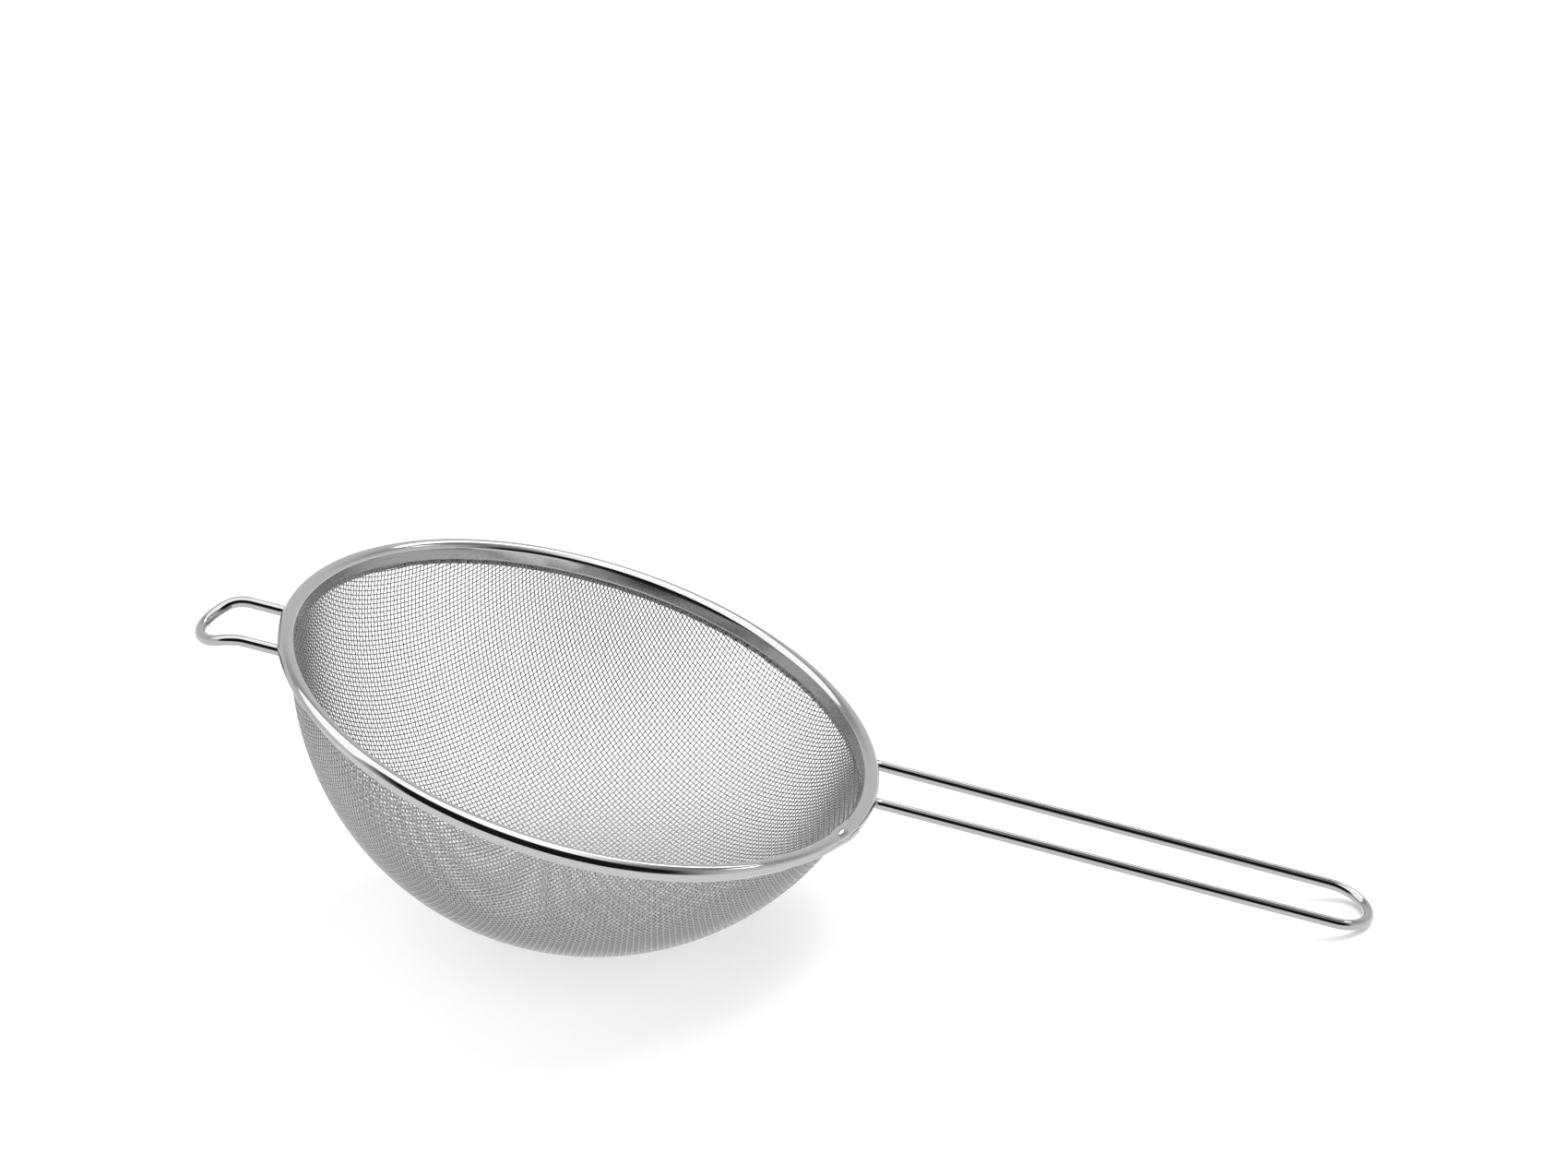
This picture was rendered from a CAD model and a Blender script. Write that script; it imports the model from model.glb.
import math

import bpy
import numpy as np
from mathutils import Matrix, Vector


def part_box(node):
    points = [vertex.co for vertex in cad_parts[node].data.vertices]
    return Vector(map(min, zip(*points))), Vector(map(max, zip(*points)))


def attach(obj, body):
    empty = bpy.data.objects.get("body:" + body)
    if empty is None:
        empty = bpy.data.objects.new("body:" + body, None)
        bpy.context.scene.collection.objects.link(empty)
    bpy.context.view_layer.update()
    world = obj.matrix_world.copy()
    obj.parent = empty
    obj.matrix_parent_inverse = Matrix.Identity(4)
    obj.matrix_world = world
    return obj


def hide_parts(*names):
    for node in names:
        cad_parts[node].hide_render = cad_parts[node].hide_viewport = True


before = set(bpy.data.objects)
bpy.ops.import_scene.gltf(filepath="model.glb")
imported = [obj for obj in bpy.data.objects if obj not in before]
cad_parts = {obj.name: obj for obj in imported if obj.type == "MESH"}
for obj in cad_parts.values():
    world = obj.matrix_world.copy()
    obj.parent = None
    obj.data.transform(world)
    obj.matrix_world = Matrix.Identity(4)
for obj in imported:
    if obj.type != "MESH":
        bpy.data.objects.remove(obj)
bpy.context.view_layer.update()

bl_info = {
    "name": "Tea strainer",
    "version": (1, 0, 0),
    "blender": (4, 5, 0),
    "location": "3D View > Sidebar > Strainer",
    "description": "Woven bowl, rolled rim band, handle wire and rest hook of a tea strainer",
    "category": "Object",
}

MM = 0.001
ROOT = "root"
# How finely the handle and hook wires are drawn: points along a leg and round the end's bend.
HANDLE_LEG_POINTS = 40
HOOK_LEG_POINTS = 24
BEND_POINTS = 49


# ---- sizes, colours and light that a user may change ----

class StrainerSizes(bpy.types.PropertyGroup):
    handle_wire: bpy.props.FloatProperty(
        name="Handle wire", description="Diameter of the handle and hook wire",
        default=1.8 * MM, unit="LENGTH", precision=5)
    ring_wire: bpy.props.FloatProperty(
        name="Ring wire", description="Diameter of the wire inside the band",
        default=1.5 * MM, unit="LENGTH", precision=5)
    rim_radius: bpy.props.FloatProperty(
        name="Rim radius", description="Outer radius of the rim band",
        default=50 * MM, unit="LENGTH", precision=5)
    strip: bpy.props.FloatProperty(
        name="Band strip", description="Thickness of the strip that the band is rolled from",
        default=0.25 * MM, unit="LENGTH", precision=5)
    bead_width: bpy.props.FloatProperty(
        name="Bead width", description="Width of the band's round part, across the rim",
        default=2.75 * MM, unit="LENGTH", precision=5)
    bead_height: bpy.props.FloatProperty(
        name="Bead height", description="Height of the band's round part",
        default=2.02 * MM, unit="LENGTH", precision=5)
    inner_leg: bpy.props.FloatProperty(
        name="Inner leg", description="How far the band's inner leg reaches below its bead",
        default=1.0 * MM, unit="LENGTH", precision=5)
    cloth_straight: bpy.props.FloatProperty(
        name="Straight edge", description="How far below the bead the cloth starts to curve",
        default=1.5 * MM, unit="LENGTH", precision=5)
    outer_leg: bpy.props.FloatProperty(
        name="Outer leg", description="How far the band's outer leg reaches below its bead",
        default=1.9 * MM, unit="LENGTH", precision=5)
    lean: bpy.props.FloatProperty(
        name="Leg lean", description="How far the band's legs lean in from upright",
        default=math.radians(14), subtype="ANGLE")
    lap_at: bpy.props.FloatProperty(
        name="Lap joint", description="Direction of the band's lap joint, from the handle",
        default=math.radians(-22), subtype="ANGLE")
    lap_length: bpy.props.FloatProperty(
        name="Lap length", description="How far round the rim the band's end covers its start",
        default=math.radians(4), subtype="ANGLE")
    cloth_wire: bpy.props.FloatProperty(
        name="Cloth wire", description="Diameter of the wires woven into the bowl",
        default=0.21 * MM, unit="LENGTH", precision=5)
    cloth_pitch: bpy.props.FloatProperty(
        name="Cloth pitch", description="Distance from one cloth wire to the next",
        default=0.77 * MM, unit="LENGTH", precision=5)
    rest_flat: bpy.props.FloatProperty(
        name="Rest flat", description="Depth of the small flat under the bowl, where it rests",
        default=0.3 * MM, unit="LENGTH", precision=5)
    cloth_turn: bpy.props.FloatProperty(
        name="Cloth direction", description="Direction of the warp wires, from the handle",
        default=math.radians(45), subtype="ANGLE")
    wire_drop: bpy.props.FloatProperty(
        name="Wire drop", description="How far the handle and hook wires lie below the ring wire",
        default=1.15 * MM, unit="LENGTH", precision=5)
    handle_half: bpy.props.FloatProperty(
        name="Handle half width", description="From the strainer's middle plane to a handle leg",
        default=6.33 * MM, unit="LENGTH", precision=5)
    handle_reach: bpy.props.FloatProperty(
        name="Handle reach", description="From the rim's centre to the handle's end",
        default=133.9 * MM, unit="LENGTH", precision=5)
    handle_droop: bpy.props.FloatProperty(
        name="Handle droop", description="How far the handle droops from the rim plane",
        default=math.radians(0.27), subtype="ANGLE")
    hook_half: bpy.props.FloatProperty(
        name="Hook half width", description="From the strainer's middle plane to a hook leg",
        default=6.6 * MM, unit="LENGTH", precision=5)
    hook_bend_at: bpy.props.FloatProperty(
        name="Hook bend start", description="From the rim's centre to where the hook bends down",
        default=54.65 * MM, unit="LENGTH", precision=5)
    hook_bend_radius: bpy.props.FloatProperty(
        name="Hook bend radius", description="Radius of the hook's downward bend",
        default=6.7 * MM, unit="LENGTH", precision=5)
    hook_bend: bpy.props.FloatProperty(
        name="Hook bend", description="How far the hook's end turns down",
        default=math.radians(36), subtype="ANGLE")
    hook_reach: bpy.props.FloatProperty(
        name="Hook reach", description="Flat length of the hook from the rim's centre",
        default=62.65 * MM, unit="LENGTH", precision=5)


class StrainerFinish(bpy.types.PropertyGroup):
    wire_colour: bpy.props.StringProperty(
        name="Wire steel", description="sRGB hex colour of the polished handle and hook wire",
        default="B8B8B8")
    band_colour: bpy.props.StringProperty(
        name="Band steel", description="sRGB hex colour of the rolled band",
        default="C2C2C2")
    cloth_colour: bpy.props.StringProperty(
        name="Cloth steel", description="sRGB hex colour of the woven wire",
        default="B2B2B2")
    floor_colour: bpy.props.StringProperty(
        name="Floor", description="sRGB hex colour of the pale floor", default="F4F4F4")


class StrainerStage(bpy.types.PropertyGroup):
    camera_turn: bpy.props.FloatProperty(
        name="Camera turn", description="Direction that the camera stands in, round the strainer",
        default=math.radians(0.46), subtype="ANGLE")
    camera_height: bpy.props.FloatProperty(
        name="Camera height", description="How steeply the camera looks down",
        default=math.radians(27.24), subtype="ANGLE")
    camera_roll: bpy.props.FloatProperty(
        name="Camera roll", description="How far the camera leans to the left",
        default=math.radians(0.136), subtype="ANGLE")
    camera_distance: bpy.props.FloatProperty(
        name="Camera distance", description="From the camera to the point it looks at",
        default=0.844, unit="LENGTH")
    camera_lens: bpy.props.FloatProperty(
        name="Lens", description="Focal length on a 36 mm wide sensor", default=120.7, unit="CAMERA")
    aim_right: bpy.props.FloatProperty(
        name="Aim right", description="How far right of the rim's centre the camera looks",
        default=32.55 * MM, unit="LENGTH", precision=5)
    aim_up: bpy.props.FloatProperty(
        name="Aim up", description="How far above the rim's centre the camera looks",
        default=18.2 * MM, unit="LENGTH", precision=5)
    sky: bpy.props.FloatProperty(
        name="Sky", description="Strength of the soft light all round", default=1.0)
    panel_height: bpy.props.FloatProperty(
        name="Softbox height", description="Height of the softbox panel over the floor",
        default=0.52, unit="LENGTH")
    key_power: bpy.props.FloatProperty(
        name="Key light", description="Power of the square lamp over the strainer", default=8.0,
        unit="POWER")


# ---- where things are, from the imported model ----

def sizes():
    """The sizes that a user may change."""
    return bpy.context.scene.strainer_sizes


def rim_place():
    """The matrix from the rim's own frame, with its plane at z = 0, to the strainer as it lies."""
    low, high = (Vector(corner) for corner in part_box("ring_wire"))
    wire = sizes().ring_wire
    tilt = math.atan2(high.z - low.z - wire, high.x - low.x - wire)
    return Matrix.Translation((low + high) / 2) @ Matrix.Rotation(tilt, 4, "Y")


def ball():
    """Height of the cloth ball's centre over the rim plane and the radius of the cloth's middle.

    The ball meets the cloth's straight edge smoothly, so the edge and its lean fix its size. The
    packed bowl's lowest point, on the small flat, has to agree.
    """
    lean = sizes().lean
    edge = wall_point(strip_depth_to_cloth(), leg_run(sizes().cloth_straight))
    rise = edge.z + edge.x * math.tan(lean)
    radius = edge.x / math.cos(lean)
    place = rim_place()
    upright = (place.to_3x3() @ Vector((0, 0, 1))).z
    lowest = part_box("cloth_bowl")[0][2]
    depth = place.translation.z - lowest - sizes().cloth_wire + sizes().rest_flat
    if abs(depth + rise * upright - radius) > 0.1 * MM:
        raise RuntimeError("the cloth's ball does not match the packed bowl")
    return rise, radius


# ---- the rim's section, in the plane y = 0 of the rim's frame ----

def bead_centre():
    """The middle of the bead, which is the band's round part."""
    s = sizes()
    return Vector((s.rim_radius - s.bead_width / 2, 0, 0))


def bead_point(angle):
    """A point on the bead's oval, by the oval's own angle from its outermost point."""
    s = sizes()
    a = s.bead_width / 2
    b = s.bead_height / 2
    return bead_centre() + Vector((a * math.cos(angle), 0, b * math.sin(angle)))


def arc_on(points, radius, start, end, steps):
    """Carry a line of points on, round an arc whose normal turns from start to end degrees."""
    first = points[-1]
    angles = [math.radians(value) for value in np.linspace(start, end, steps + 1)]
    for angle in angles[1:]:
        across = math.cos(angle) - math.cos(angles[0])
        upward = math.sin(angle) - math.sin(angles[0])
        points.append(first + Vector((across, 0, upward)) * radius)


def down_wall():
    """The way down along the band's legs, which lean in."""
    lean = sizes().lean
    return Vector((-math.sin(lean), 0, -math.cos(lean)))


def out_of_wall():
    """The way straight out through the band's legs."""
    lean = sizes().lean
    return Vector((math.cos(lean), 0, -math.sin(lean)))


def wall_reach():
    """From the bead's centre to the inner leg's face, which runs on from the bead."""
    s = sizes()
    return math.hypot(s.bead_width / 2 * math.cos(s.lean), s.bead_height / 2 * math.sin(s.lean))


def wall_point(depth, run):
    """A point depth outside the inner leg's face, and run down the wall from the bead's centre."""
    return bead_centre() - out_of_wall() * (wall_reach() - depth) + down_wall() * run


def strip_depth_to_cloth():
    """From the inner leg's face, through the strip, to the cloth's middle."""
    return sizes().strip + sizes().cloth_wire


def grip_depth():
    """From the inner leg's face to the outer leg's face, with the cloth between the legs."""
    return 2 * sizes().strip + 2 * sizes().cloth_wire


def leg_run(leg):
    """From the bead's centre, down the wall, to the foot of a leg that reaches leg below it."""
    return sizes().bead_height / 2 + leg / math.cos(sizes().lean)


def band_skin():
    """The strip's outer skin, from the inner leg's foot, over the bead, to the outer leg's foot.

    The bead's outer face runs down nearly flat to a tight fold. The strip then turns in under the
    bead and meets the outer leg in a crease.
    """
    s = sizes()
    # The oval's own angle where the bead's round top ends. Three arcs follow it, each with its
    # radius, where its normal turns to in degrees over level, and its steps: the shoulder, the
    # nearly flat outer face, and the tight fold at its foot.
    shoulder = math.radians(45)
    arcs = ((0.5 * MM, 34, 6), (3.1 * MM, 20, 10), (0.2 * MM, -78, 10))
    # Down the wall from the centre: the crease, its end, and where the leg is straight again.
    bead_foot = s.bead_height / 2
    crease_run = bead_foot + 0.12 * MM
    crease_end = bead_foot + 0.3 * MM
    straight_from = bead_foot + 0.5 * MM
    inner_angle = math.pi - math.atan(s.bead_height / s.bead_width * math.tan(s.lean))
    inner_run = (bead_point(inner_angle) - bead_centre()).dot(down_wall())
    points = [wall_point(0, run) for run in np.linspace(leg_run(s.inner_leg), inner_run, 8)]
    for angle in np.linspace(inner_angle, shoulder, 36)[1:]:
        points.append(bead_point(angle))
    facing = 90 - math.degrees(math.atan2(s.bead_height * math.cos(shoulder),
                                          s.bead_width * math.sin(shoulder)))
    for radius, turned, steps in arcs:
        arc_on(points, radius, facing, turned, steps)
        facing = turned
    # Keep the fold's widest point on the rim's outer radius.
    excess = max(point.x for point in points) - s.rim_radius
    centre = bead_centre().x
    reach = max(point.x for point in points) - centre
    for point in points:
        if point.x > centre:
            point.x -= excess * (point.x - centre) / reach
    # The last step stops short of the crease, so that the crease is a little soft.
    grip = grip_depth()
    crease = wall_point(grip, crease_run)
    fold = points[-1]
    for part in (0.25, 0.5, 0.75, 0.93):
        points.append(fold.lerp(crease, part))
    points.append(wall_point(grip, crease_end))
    points += [wall_point(grip, run)
               for run in np.linspace(straight_from, leg_run(s.outer_leg), 6)]
    return points


def band_section(lift):
    """The band's closed outline: its skin, raised by lift, then back inside the two legs."""
    s = sizes()
    skin = band_skin()
    grip = grip_depth()
    outline = []
    for i, point in enumerate(skin):
        along = (skin[min(i + 1, len(skin) - 1)] - skin[max(i - 1, 0)]).normalized()
        outline.append(point + Vector((-along.z, 0, along.x)) * lift)
    inner_foot, outer_foot = leg_run(s.inner_leg), leg_run(s.outer_leg)
    # The strip's cut edges are a little rounded.
    edge = s.strip * 0.25
    outline.append(wall_point(grip - edge, outer_foot + edge))
    outline.append(wall_point(grip - s.strip + edge, outer_foot + edge))
    outline.append(wall_point(grip - s.strip, outer_foot))
    outline.append(wall_point(grip - s.strip, s.bead_height / 2))
    outline.append(wall_point(s.strip, s.bead_height / 2))
    outline.append(wall_point(s.strip, inner_foot))
    outline.append(wall_point(s.strip - edge, inner_foot + edge))
    outline.append(wall_point(edge, inner_foot + edge))
    return outline


def smooth_step(value):
    """Zero up to 0, one from 1, and a smooth rise between them."""
    value = min(max(value, 0.0), 1.0)
    return value * value * (3 - 2 * value)


def band_lift(turn):
    """How far the band's skin stands proud at a direction round the rim, in metres."""
    s = sizes()
    back = s.lap_at - turn
    # The lap's end stands a strip's thickness proud. Past the lap the skin runs down again.
    run_down = 0.9 * s.lap_length
    proud = 0.0
    if 0 <= back < s.lap_length:
        proud = s.strip
    elif s.lap_length <= back:
        proud = s.strip * (1 - smooth_step((back - s.lap_length) / run_down))
    # The covered end pushes up a low ridge across the lap.
    ridge_height, ridge_back, ridge_width = 0.02 * MM, 0.92 * s.lap_length, math.radians(0.8)
    ridge = ridge_height * math.exp(-((back - ridge_back) / ridge_width) ** 2)
    # Rolled strip is never quite even round the rim.
    wave = 0.012 * MM * math.sin(7 * turn + 0.6) + 0.008 * MM * math.sin(17 * turn + 2.0)
    return proud + ridge + wave


# ---- mesh makers ----

def link_piece(name, mesh):
    """A new object in the scene for a mesh."""
    piece = bpy.data.objects.new(name, mesh)
    bpy.context.scene.collection.objects.link(piece)
    return piece


def new_object(name, vertices, faces, uv=None):
    """A smooth piece from points and faces, and from the faces' UVs in mm where it has any."""
    mesh = bpy.data.meshes.new(name)
    mesh.from_pydata([tuple(v) for v in vertices], [], faces)
    if uv is not None:
        layer = mesh.uv_layers.new(name="Along")
        layer.data.foreach_set("uv", np.asarray(uv, dtype=np.float32).ravel())
    mesh.polygons.foreach_set("use_smooth", [True] * len(mesh.polygons))
    mesh.update()
    return link_piece(name, mesh)


def tube(name, path, radius, sides=32):
    """A round wire along a path, with flat ends; its UVs run in mm along and round the wire."""
    path = [Vector(p) for p in path]
    tangents = []
    for i in range(len(path)):
        before = path[max(i - 1, 0)]
        after = path[min(i + 1, len(path) - 1)]
        tangents.append((after - before).normalized())
    side = tangents[0].cross(Vector((0, 0, 1))).normalized()
    vertices = []
    along = [0.0]
    for i, point in enumerate(path):
        if i:
            turn = tangents[i - 1].rotation_difference(tangents[i])
            side = (turn @ side).normalized()
            along.append(along[-1] + (point - path[i - 1]).length)
        other = tangents[i].cross(side).normalized()
        for k in range(sides):
            angle = 2 * math.pi * k / sides
            vertices.append(point + (side * math.cos(angle) + other * math.sin(angle)) * radius)
    faces = []
    uv = []
    girth = 2 * math.pi * radius / sides
    for i in range(len(path) - 1):
        for k in range(sides):
            a = i * sides + k
            b = i * sides + (k + 1) % sides
            faces.append((a, b, b + sides, a + sides))
            u0, u1 = along[i] / MM, along[i + 1] / MM
            v0, v1 = k * girth / MM, (k + 1) * girth / MM
            uv += [(u0, v0), (u0, v1), (u1, v1), (u1, v0)]
    last = (len(path) - 1) * sides
    faces.append(tuple(range(sides - 1, -1, -1)))
    uv += [(0, 0)] * sides
    faces.append(tuple(range(last, last + sides)))
    uv += [(0, 0)] * sides
    return new_object(name, vertices, faces, uv)


def finish_piece(piece, material, node):
    """Give a piece its material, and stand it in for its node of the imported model."""
    piece.data.materials.append(material)
    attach(piece, ROOT)
    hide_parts(node)


# ---- the woven cloth ----

def net_corner(a, b, opposite, cos_step):
    """The point one pitch from both a and b on the unit ball, on the side away from opposite."""
    middle = (a + b) * (cos_step / (1 + a @ b))
    across = np.cross(a, b)
    rest = 1 - middle @ middle
    if rest < 0:
        return None
    across = across * math.sqrt(rest / (across @ across))
    first, second = middle + across, middle - across
    return first if first @ opposite < second @ opposite else second


def cloth_net(radius, limit):
    """Crossings of the cloth on a unit ball, from two wires that cross square at its bottom.

    Woven cloth cannot stretch along its wires. It takes a bowl's shape by trellising, so the
    wires stay one pitch apart along each other while the angle between them closes.
    """
    step = sizes().cloth_pitch / radius
    turn = sizes().cloth_turn
    # The net has room for spare wires, and is filled to a few pitches past the cloth's edge.
    spare_wires = 8
    past_edge = 3
    reach = int(limit / step) + spare_wires
    net = np.full((2 * reach + 1, 2 * reach + 1, 3), np.nan)
    for k in range(-reach, reach + 1):
        angle = k * step
        for across in (False, True):
            azimuth = turn + (math.pi / 2 if across else 0.0)
            point = (math.sin(angle) * math.cos(azimuth), math.sin(angle) * math.sin(azimuth),
                     -math.cos(angle))
            net[(reach, reach + k) if across else (reach + k, reach)] = point
    stop = math.cos(limit + past_edge * step)
    for sx in (1, -1):
        for sy in (1, -1):
            for i in range(1, reach + 1):
                for j in range(1, reach + 1):
                    a = net[reach + sx * i, reach + sy * (j - 1)]
                    b = net[reach + sx * (i - 1), reach + sy * j]
                    opposite = net[reach + sx * (i - 1), reach + sy * (j - 1)]
                    if math.isnan(a[0]) or math.isnan(b[0]) or -opposite[2] < stop:
                        continue
                    corner = net_corner(a, b, opposite, math.cos(step))
                    if corner is not None:
                        net[reach + sx * i, reach + sy * j] = corner
    return net


def wire_runs(net, limit, weft):
    """Each wire's crossings inside the limit, with the side that it passes on at each one."""
    fewest_crossings = 4
    grid = net.transpose(1, 0, 2) if weft else net
    inside = ~np.isnan(grid[..., 0]) & (-grid[..., 2] > math.cos(limit))
    runs = []
    for i in range(grid.shape[0]):
        columns = np.nonzero(inside[i])[0]
        if len(columns) < fewest_crossings:
            continue
        columns = np.arange(columns[0], columns[-1] + 1)
        if not inside[i, columns].all():
            continue
        over = np.where((i + columns) % 2 == 0, 1.0, -1.0)
        runs.append((grid[i, columns], -over if weft else over))
    return runs


def wire_mesh(runs, radius, place, rise, sides=6):
    """Vertices and quads of bent wires that pass over and under each other on the ball."""
    half_wire = sizes().cloth_wire / 2
    turn = np.array(place.to_3x3())
    origin = np.array(place @ Vector((0, 0, rise)))
    # The cloth gives where the bowl rests, so no wire goes under the floor.
    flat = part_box("cloth_bowl")[0][2] + sizes().cloth_wire
    angles = np.arange(sides) * 2 * math.pi / sides
    vertices = []
    quads = []
    count = 0
    for points, over in runs:
        middles = (points[1:] + points[:-1]) / 2
        n = len(points)
        line = np.empty((2 * n - 1, 3))
        line[0::2] = points
        line[1::2] = middles
        normal = line / np.linalg.norm(line, axis=1)[:, None]
        height = np.zeros(2 * n - 1)
        height[0::2] = over * half_wire
        middle = normal * radius @ turn.T + origin
        middle[:, 2] = np.maximum(middle[:, 2], flat)
        normal = normal @ turn.T
        line = middle + normal * height[:, None]
        tangent = np.gradient(line, axis=0)
        tangent /= np.linalg.norm(tangent, axis=1)[:, None]
        side = np.cross(tangent, normal)
        side /= np.linalg.norm(side, axis=1)[:, None]
        up = np.cross(side, tangent)
        ring = (line[:, None] + half_wire * (np.cos(angles)[None, :, None] * side[:, None]
                                             + np.sin(angles)[None, :, None] * up[:, None]))
        vertices.append(ring.reshape(-1, 3))
        m = len(line)
        i = np.arange(m - 1)[:, None] * sides
        k = np.arange(sides)[None, :]
        k1 = (k + 1) % sides
        quad = np.stack([i + k, i + sides + k, i + sides + k1, i + k1], -1).reshape(-1, 4)
        quads.append(quad + count)
        count += m * sides
    return np.concatenate(vertices), np.concatenate(quads)


def mesh_from_arrays(name, vertices, quads):
    """A smooth piece from arrays of points and quads, which is quick for many thousand faces."""
    mesh = bpy.data.meshes.new(name)
    mesh.vertices.add(len(vertices))
    mesh.vertices.foreach_set("co", vertices.astype(np.float32).ravel())
    mesh.loops.add(quads.size)
    mesh.loops.foreach_set("vertex_index", quads.astype(np.int32).ravel())
    mesh.polygons.add(len(quads))
    mesh.polygons.foreach_set("loop_start", np.arange(0, quads.size, 4, dtype=np.int32))
    mesh.polygons.foreach_set("use_smooth", np.ones(len(quads), dtype=bool))
    mesh.update(calc_edges=True)
    return link_piece(name, mesh)


# ---- materials ----

def linear_colour(hex_text):
    """Linear red, green, blue and alpha from an sRGB hex colour."""
    channels = []
    for i in (0, 2, 4):
        value = int(hex_text[i:i + 2], 16) / 255
        channels.append(value / 12.92 if value <= 0.04045 else ((value + 0.055) / 1.055) ** 2.4)
    return (*channels, 1.0)


def add_node(tree, kind, inputs=None, links=None, **settings):
    """One node with its settings, input values and the sockets that feed it."""
    node = tree.nodes.new(kind)
    for key, value in settings.items():
        setattr(node, key, value)
    for key, value in (inputs or {}).items():
        node.inputs[key].default_value = value
    for key, socket in (links or {}).items():
        tree.links.new(socket, node.inputs[key])
    return node


def new_material(name):
    """An empty material and its node tree."""
    material = bpy.data.materials.new(name)
    material.use_nodes = True
    material.node_tree.nodes.clear()
    return material, material.node_tree


def shader_output(tree, shader):
    """Make a shader the material's surface."""
    add_node(tree, "ShaderNodeOutputMaterial", links={"Surface": shader.outputs[0]})


def drawn_streaks(tree, along_mm, across_mm, detail=3.0):
    """Noise drawn out along the wire or strip, whose UVs are in mm."""
    where = add_node(tree, "ShaderNodeUVMap", uv_map="Along")
    scaled = add_node(tree, "ShaderNodeMapping", {"Scale": (1 / along_mm, 1 / across_mm, 1.0)},
                      {"Vector": where.outputs["UV"]})
    return add_node(tree, "ShaderNodeTexNoise", {"Scale": 1.0, "Detail": detail},
                    {"Vector": scaled.outputs["Vector"]}, noise_dimensions="2D")


def streaked_steel(name, colour, streaks, smoothest, roughest, strength, depth):
    """Bare steel whose streaks run from smoothest to roughest and stand up to depth."""
    material, tree = new_material(name)
    pattern = drawn_streaks(tree, *streaks)
    roughness = add_node(tree, "ShaderNodeMapRange",
                         {"To Min": smoothest, "To Max": roughest}, {"Value": pattern.outputs["Fac"]})
    bump = add_node(tree, "ShaderNodeBump", {"Strength": strength, "Distance": depth},
                    {"Height": pattern.outputs["Fac"]})
    shader = add_node(tree, "ShaderNodeBsdfPrincipled",
                      {"Base Color": linear_colour(colour), "Metallic": 1.0},
                      {"Roughness": roughness.outputs["Result"], "Normal": bump.outputs["Normal"]})
    shader_output(tree, shader)
    return material


def polished_wire_steel():
    """Drawn stainless wire, polished bright: a mirror with faint die lines along the wire."""
    # Real die lines are finer. They are 9 mm long and 0.12 mm wide here, so that they show.
    return streaked_steel("polished stainless wire", bpy.context.scene.strainer_finish.wire_colour,
                          streaks=(9.0, 0.12), smoothest=0.03, roughest=0.08,
                          strength=0.05, depth=0.005 * MM)


def rolled_band_steel():
    """Cold rolled stainless strip, formed and buffed: softer than the wire, with faint lines."""
    # Real rolling lines are finer. They are 6 mm long and 0.15 mm wide here, so that they show.
    return streaked_steel("rolled stainless strip", bpy.context.scene.strainer_finish.band_colour,
                          streaks=(6.0, 0.15), smoothest=0.05, roughest=0.11,
                          strength=0.03, depth=0.003 * MM)


def plain_drawn_steel(name):
    """Bright-drawn stainless wire, softer than the polished wire and even all over.

    The cloth's wires are too thin for lines of their own to show, and the band hides the ring.
    """
    material, tree = new_material(name)
    shader = add_node(tree, "ShaderNodeBsdfPrincipled",
                      {"Base Color": linear_colour(bpy.context.scene.strainer_finish.cloth_colour),
                       "Metallic": 1.0, "Roughness": 0.24})
    shader_output(tree, shader)
    return material


def matt_board(name, colour):
    """Matt painted board with a faint unevenness, about 9 mm from one swell to the next."""
    material, tree = new_material(name)
    grain = add_node(tree, "ShaderNodeTexNoise", {"Scale": 900.0, "Detail": 2.0})
    bump = add_node(tree, "ShaderNodeBump", {"Strength": 0.02, "Distance": 0.1 * MM},
                    {"Height": grain.outputs["Fac"]})
    shader = add_node(tree, "ShaderNodeBsdfPrincipled",
                      {"Base Color": linear_colour(colour), "Roughness": 0.9},
                      {"Normal": bump.outputs["Normal"]})
    shader_output(tree, shader)
    return material


# ---- operators: one for each piece or group of like pieces ----

class STRAINER_OT_cloth(bpy.types.Operator):
    """Weave the bowl's wire cloth, wire by wire"""
    bl_idname = "strainer.cloth"
    bl_label = "Woven bowl"

    def execute(self, context):
        rise, radius = ball()
        place = rim_place()
        # The band hides the cloth's cut edge, this far under the rim plane.
        edge_depth = 1.2 * MM
        limit = math.acos((rise + edge_depth) / radius)
        net = cloth_net(radius, limit)
        material = plain_drawn_steel("bright drawn cloth wire")
        pieces_each_way = 3
        for family, weft in (("warp", False), ("weft", True)):
            runs = wire_runs(net, limit, weft)
            total = sum(len(points) for points, _ in runs)
            groups = [[] for _ in range(pieces_each_way)]
            seen = 0
            for run in runs:
                groups[pieces_each_way * seen // total].append(run)
                seen += len(run[0])
            for number, group in enumerate(groups, 1):
                vertices, quads = wire_mesh(group, radius, place, rise)
                piece = mesh_from_arrays(f"cloth_{family}_{number}", vertices, quads)
                finish_piece(piece, material, "cloth_bowl")
        return {"FINISHED"}


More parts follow.
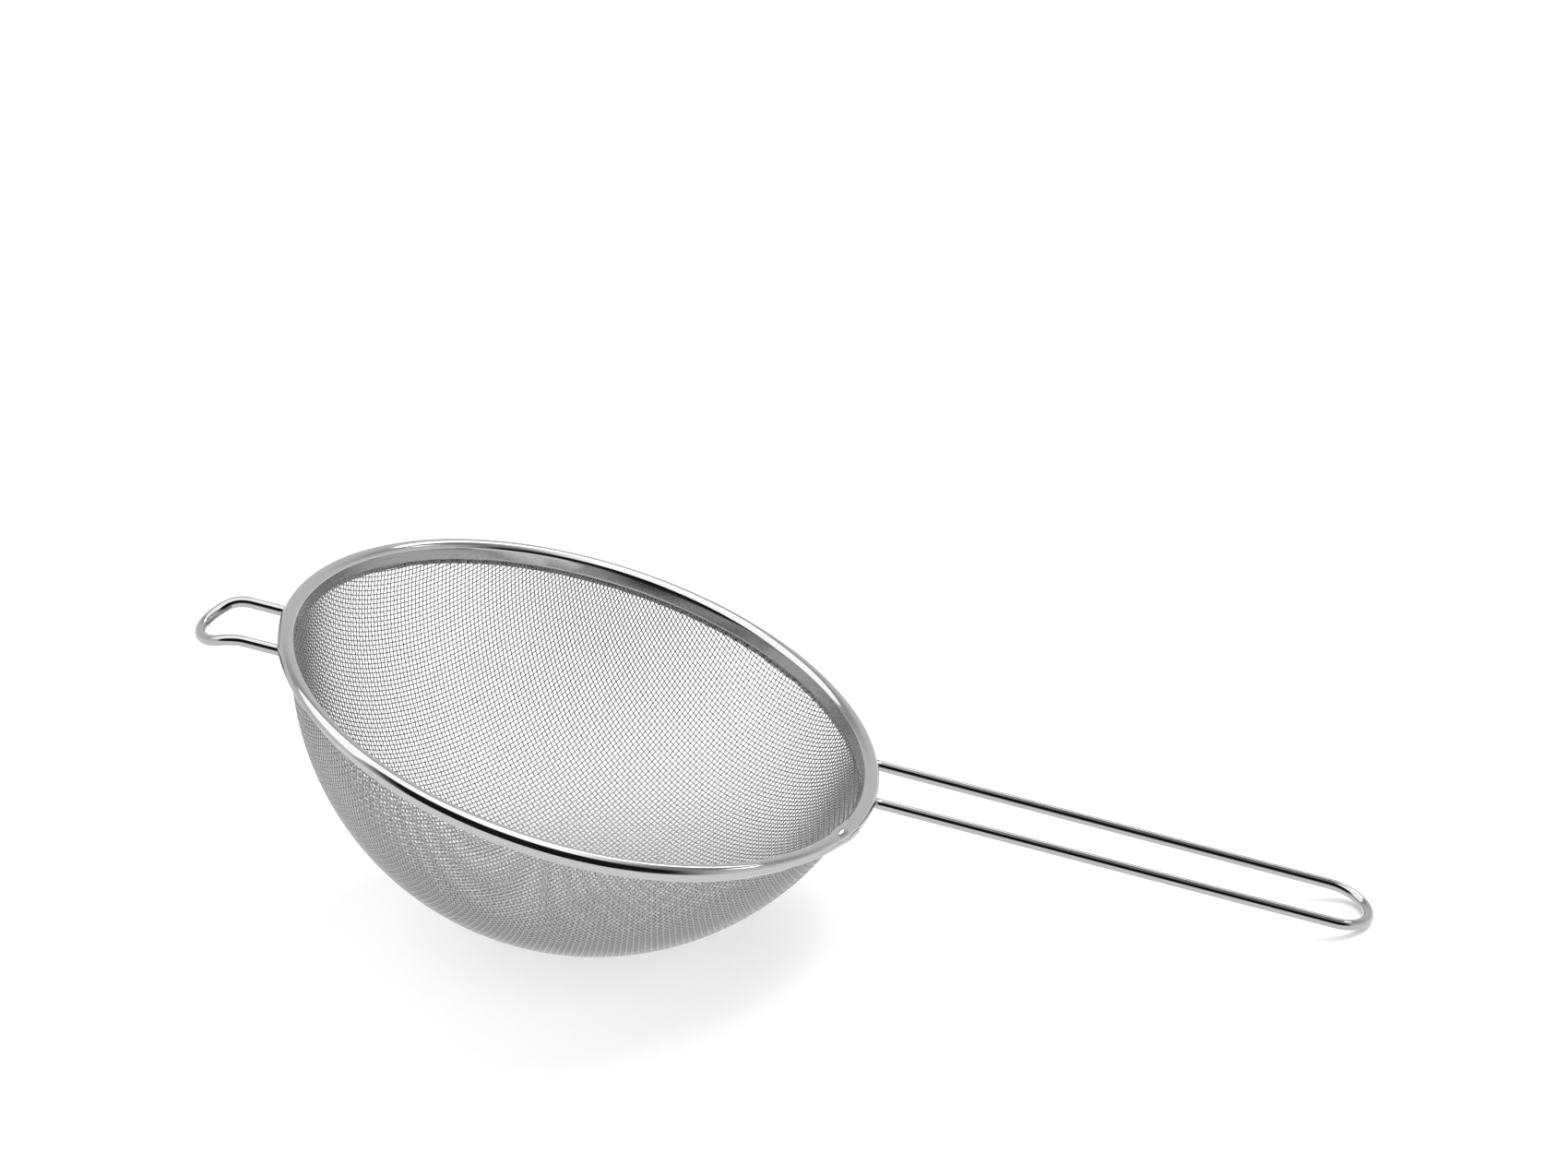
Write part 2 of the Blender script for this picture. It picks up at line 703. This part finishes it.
class STRAINER_OT_band(bpy.types.Operator):
    """Roll the rim band over the ring wire, with its lap joint and wire notches"""
    bl_idname = "strainer.band"
    bl_label = "Rim band"

    def execute(self, context):
        s = sizes()
        place = rim_place()
        # Sections round the rim, in degrees: closer up to the lap's end, which is a step.
        lap = math.degrees(s.lap_at)
        apart, apart_on_lap, near_lap, half_step = 0.5, 0.2, 6.0, 0.01
        turns = [t for t in np.arange(-180.0, 180.0, apart) if abs(t - lap) > near_lap]
        turns += list(np.arange(lap - near_lap, lap, apart_on_lap))
        turns += [lap - half_step, lap + half_step]
        turns += list(np.arange(lap + apart, lap + near_lap, apart))
        turns = [math.radians(t) for t in sorted(turns)]
        vertices = []
        for turn in turns:
            spin = place @ Matrix.Rotation(turn, 4, "Z")
            vertices += [spin @ point for point in band_section(band_lift(turn))]
        rows = len(turns)
        section = band_section(0.0)
        points = len(section)
        across = [0.0]
        for k in range(points):
            across.append(across[-1] + (section[(k + 1) % points] - section[k]).length)
        faces = []
        uv = []
        for i in range(rows):
            j = (i + 1) % rows
            u0 = turns[i] * s.rim_radius / MM
            u1 = u0 + ((turns[j] - turns[i]) % (2 * math.pi)) * s.rim_radius / MM
            for k in range(points):
                k1 = (k + 1) % points
                faces.append((i * points + k, i * points + k1, j * points + k1, j * points + k))
                v0, v1 = across[k] / MM, across[k + 1] / MM
                uv += [(u0, v0), (u0, v1), (u1, v1), (u1, v0)]
        piece = new_object("rolled_rim_band", vertices, faces, uv)
        finish_piece(piece, rolled_band_steel(), "rim_band")
        return {"FINISHED"}


def wire_end_x(half_width):
    """Where a handle or hook leg starts, under the outer half of the bead."""
    s = sizes()
    share_of_half = 0.25
    radius = bead_centre().x + share_of_half * s.bead_width / 2
    return math.sqrt(radius ** 2 - half_width ** 2)


class STRAINER_OT_handle(bpy.types.Operator):
    """Bend the long handle from one polished wire"""
    bl_idname = "strainer.handle"
    bl_label = "Handle wire"

    def execute(self, context):
        s = sizes()
        bend = s.handle_reach - s.handle_half
        start = wire_end_x(s.handle_half)
        leg = np.linspace(start, bend, HANDLE_LEG_POINTS)
        path = [(x, s.handle_half, 0) for x in leg[:-1]]
        for angle in np.linspace(0, math.pi, BEND_POINTS):
            path.append((bend + s.handle_half * math.sin(angle), s.handle_half * math.cos(angle), 0))
        back = np.linspace(bend, start, HANDLE_LEG_POINTS)
        path += [(x, -s.handle_half, 0) for x in back[1:]]
        hinge = Vector((s.rim_radius, 0, -s.wire_drop))
        droop = (Matrix.Translation(hinge) @ Matrix.Rotation(s.handle_droop, 4, "Y")
                 @ Matrix.Translation((-s.rim_radius, 0, 0)))
        place = rim_place() @ droop
        piece = tube("polished_handle", [place @ Vector(p) for p in path], s.handle_wire / 2)
        finish_piece(piece, polished_wire_steel(), "handle_wire")
        return {"FINISHED"}


class STRAINER_OT_hook(bpy.types.Operator):
    """Bend the short rest hook, whose end turns down over a cup's lip"""
    bl_idname = "strainer.hook"
    bl_label = "Rest hook"

    def fold(self, run, y):
        """Where a point of the flat hook, run from the rim's centre, goes when its end bends."""
        s = sizes()
        if run <= s.hook_bend_at:
            return Vector((-run, y, -s.wire_drop))
        bent = min((run - s.hook_bend_at) / s.hook_bend_radius, s.hook_bend)
        beyond = run - s.hook_bend_at - bent * s.hook_bend_radius
        out = s.hook_bend_at + s.hook_bend_radius * math.sin(bent) + beyond * math.cos(bent)
        down = s.hook_bend_radius * (1 - math.cos(bent)) + beyond * math.sin(bent)
        return Vector((-out, y, -s.wire_drop - down))

    def execute(self, context):
        s = sizes()
        centre = s.hook_reach - s.hook_half
        start = wire_end_x(s.hook_half)
        leg = np.linspace(start, centre, HOOK_LEG_POINTS)
        flat = [(run, s.hook_half) for run in leg[:-1]]
        for angle in np.linspace(0, math.pi, BEND_POINTS):
            flat.append((centre + s.hook_half * math.sin(angle), s.hook_half * math.cos(angle)))
        back = np.linspace(centre, start, HOOK_LEG_POINTS)
        flat += [(run, -s.hook_half) for run in back[1:]]
        place = rim_place()
        path = [place @ self.fold(run, y) for run, y in flat]
        piece = tube("polished_rest_hook", path, s.handle_wire / 2)
        finish_piece(piece, polished_wire_steel(), "rest_hook")
        return {"FINISHED"}


class STRAINER_OT_ring(bpy.types.Operator):
    """Give the hidden ring wire its finish"""
    bl_idname = "strainer.ring"
    bl_label = "Ring wire"

    def execute(self, context):
        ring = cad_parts["ring_wire"]
        ring.data.materials.clear()
        ring.data.materials.append(plain_drawn_steel("bright drawn ring wire"))
        return {"FINISHED"}


# ---- the stage ----

def soft_sky(strength):
    """A light tent: pale behind and at the sides, grey overhead, dark where it opens in front."""
    # Brightness by degrees from the horizon behind, over the top, to the horizon in front.
    stops = [(-180, 0.4), (-20, 0.6), (-5, 0.8), (30, 0.8), (46, 0.45), (112, 0.45), (123, 0.01),
             (175, 0.01), (179, 0.4), (180, 0.4)]
    brightest = max(value for _, value in stops)
    side_grey = 0.85 / brightest
    # How far to a side, as a part of all the way, the tent starts turning grey and has turned.
    side_from, side_full = 0.7, 0.97
    even_light = 1.14
    # The sockets of a colour Mix node, by number, as its names repeat.
    mix_factor, mix_a, mix_b, mix_result = 0, 6, 7, 2
    world = bpy.data.worlds.new("light tent")
    world.use_nodes = True
    tree = world.node_tree
    tree.nodes.clear()
    where = add_node(tree, "ShaderNodeTexCoord")
    parts = add_node(tree, "ShaderNodeSeparateXYZ", links={"Vector": where.outputs["Generated"]})
    arc = add_node(tree, "ShaderNodeMath", links={0: parts.outputs["Z"], 1: parts.outputs["Y"]},
                   operation="ARCTAN2")
    turn = add_node(tree, "ShaderNodeMapRange",
                    {"From Min": -math.pi, "From Max": math.pi}, {"Value": arc.outputs["Value"]})
    colours = add_node(tree, "ShaderNodeValToRGB", links={"Fac": turn.outputs["Result"]})
    elements = colours.color_ramp.elements
    for degrees, _ in stops[1:-1]:
        elements.new((degrees + 180) / 360)
    for element, (_, value) in zip(elements, stops):
        element.color = (*[value / brightest] * 3, 1.0)
    aside = add_node(tree, "ShaderNodeMath", links={0: parts.outputs["X"]}, operation="ABSOLUTE")
    side_part = add_node(tree, "ShaderNodeMapRange", {"From Min": side_from, "From Max": side_full},
                         {"Value": aside.outputs["Value"]}, interpolation_type="SMOOTHSTEP")
    tent = add_node(tree, "ShaderNodeMix", {mix_b: (side_grey, side_grey, side_grey, 1.0)},
                    {mix_factor: side_part.outputs["Result"], mix_a: colours.outputs["Color"]},
                    data_type="RGBA")
    background = add_node(tree, "ShaderNodeBackground", {"Strength": brightest * strength},
                          {"Color": tent.outputs[mix_result]})
    # What the steel mirrors is the tent. The floor and the camera get plain even light.
    plain = add_node(tree, "ShaderNodeBackground",
                     {"Color": (1, 1, 1, 1), "Strength": even_light})
    path = add_node(tree, "ShaderNodeLightPath")
    mixed = add_node(tree, "ShaderNodeMixShader",
                     links={0: path.outputs["Is Glossy Ray"], 1: plain.outputs[0],
                            2: background.outputs[0]})
    add_node(tree, "ShaderNodeOutputWorld", links={"Surface": mixed.outputs[0]})
    bpy.context.scene.world = world


def board(name, left, right, front, back, height, material):
    """A flat, level board of the stage."""
    corners = [(left, front, height), (right, front, height), (right, back, height),
               (left, back, height)]
    piece = new_object(name, corners, [(0, 1, 2, 3)])
    piece.data.materials.append(material)
    return piece


def even_glow(name, strength):
    """Card that glows evenly, so that the steel mirrors one grey from it."""
    material, tree = new_material(name)
    shader_output(tree, add_node(tree, "ShaderNodeEmission", {"Strength": strength}))
    return material


def fading_glow():
    """Softbox cloth that is bright over the bowl and fades out over the handle."""
    fade_from, fade_to = 0.15, 0.3
    bright, dim = 1.75, 0.3
    material, tree = new_material("softbox cloth")
    where = add_node(tree, "ShaderNodeNewGeometry")
    parts = add_node(tree, "ShaderNodeSeparateXYZ", links={"Vector": where.outputs["Position"]})
    glow = add_node(tree, "ShaderNodeMapRange",
                    {"From Min": fade_from, "From Max": fade_to, "To Min": bright, "To Max": dim},
                    {"Value": parts.outputs["X"]})
    shader_output(tree, add_node(tree, "ShaderNodeEmission",
                                 links={"Strength": glow.outputs["Result"]}))
    return material


def lay_boards(stage, finish):
    """The pale floor, and the two cards that only the steel's mirror sees."""
    floor = board("floor", -4, 4, -4, 4, 0, matt_board("matt white board", finish.floor_colour))
    floor.visible_glossy = False
    # The polished steel mirrors a greyer board, and a softbox that ends over the handle.
    grey_card = board("mirrored_board", -4, 4, -1.5, 4, -1 * MM, even_glow("grey card", 1.05))
    softbox = board("softbox_panel", -1.0, 0.5, -0.22, 0.38, stage.panel_height, fading_glow())
    for card in (grey_card, softbox):
        card.visible_camera = False
        card.visible_diffuse = False
        card.visible_shadow = False


def hang_key(stage, middle):
    """The square lamp behind, right of and over the strainer, which makes its soft shadow."""
    key = bpy.data.lights.new("key_softbox", "AREA")
    key.shape = "SQUARE"
    key.size = 0.9
    key.energy = stage.key_power
    lamp = bpy.data.objects.new("key_softbox", key)
    bpy.context.scene.collection.objects.link(lamp)
    lamp.location = middle + Vector((0.4, 0.35, 0.95))
    lamp.rotation_euler = (middle - lamp.location).to_track_quat("-Z", "Y").to_euler()


def stand_camera(stage, middle):
    """The camera, which looks down past the rim's middle and leans a little."""
    turn, height = stage.camera_turn, stage.camera_height
    lean = Matrix.Rotation(-stage.camera_roll, 3, "Y")
    right = lean @ Vector((math.cos(turn), math.sin(turn), 0))
    forward = lean @ Vector((-math.sin(turn) * math.cos(height),
                             math.cos(turn) * math.cos(height), -math.sin(height)))
    up = right.cross(forward)
    aim = middle + right * stage.aim_right + up * stage.aim_up
    data = bpy.data.cameras.new("camera")
    data.sensor_width = 36
    data.lens = stage.camera_lens
    data.clip_start = 0.01
    camera = bpy.data.objects.new("camera", data)
    bpy.context.scene.collection.objects.link(camera)
    turned = Matrix((right, up, -forward)).transposed().to_4x4()
    camera.matrix_world = Matrix.Translation(aim - forward * stage.camera_distance) @ turned
    bpy.context.scene.camera = camera


class STRAINER_OT_stage(bpy.types.Operator):
    """Lay the pale floor, hang the lights and stand the camera"""
    bl_idname = "strainer.stage"
    bl_label = "Floor, light and camera"

    def execute(self, context):
        scene = context.scene
        stage = scene.strainer_stage
        middle = rim_place().translation
        lay_boards(stage, scene.strainer_finish)
        soft_sky(stage.sky)
        hang_key(stage, middle)
        stand_camera(stage, middle)
        scene.view_settings.view_transform = "Standard"
        return {"FINISHED"}


# ---- the sidebar panel and the add-on ----

class STRAINER_PT_panel(bpy.types.Panel):
    """Lists the strainer's pieces in the 3D view's sidebar"""
    bl_idname = "STRAINER_PT_panel"
    bl_label = "Tea strainer"
    bl_space_type = "VIEW_3D"
    bl_region_type = "UI"
    bl_category = "Strainer"

    def draw(self, context):
        for operator in OPERATORS:
            self.layout.operator(operator.bl_idname)
        for group in ("strainer_sizes", "strainer_finish", "strainer_stage"):
            values = getattr(context.scene, group)
            for name in values.__annotations__:
                self.layout.prop(values, name)


GROUPS = {
    "strainer_sizes": StrainerSizes,
    "strainer_finish": StrainerFinish,
    "strainer_stage": StrainerStage,
}
OPERATORS = (
    STRAINER_OT_cloth,
    STRAINER_OT_band,
    STRAINER_OT_handle,
    STRAINER_OT_hook,
    STRAINER_OT_ring,
    STRAINER_OT_stage,
)


def register():
    """Add the settings, the operators and the panel."""
    for group in GROUPS.values():
        bpy.utils.register_class(group)
    for name, group in GROUPS.items():
        setattr(bpy.types.Scene, name, bpy.props.PointerProperty(type=group))
    for operator in OPERATORS:
        bpy.utils.register_class(operator)
    bpy.utils.register_class(STRAINER_PT_panel)


def unregister():
    """Take them away again, last first."""
    bpy.utils.unregister_class(STRAINER_PT_panel)
    for operator in reversed(OPERATORS):
        bpy.utils.unregister_class(operator)
    for name, group in GROUPS.items():
        delattr(bpy.types.Scene, name)
        bpy.utils.unregister_class(group)


def main():
    """Build every piece and the stage."""
    register()
    bpy.ops.strainer.cloth()
    bpy.ops.strainer.band()
    bpy.ops.strainer.handle()
    bpy.ops.strainer.hook()
    bpy.ops.strainer.ring()
    bpy.ops.strainer.stage()
    bpy.context.view_layer.update()


if __name__ == "__main__":
    main()
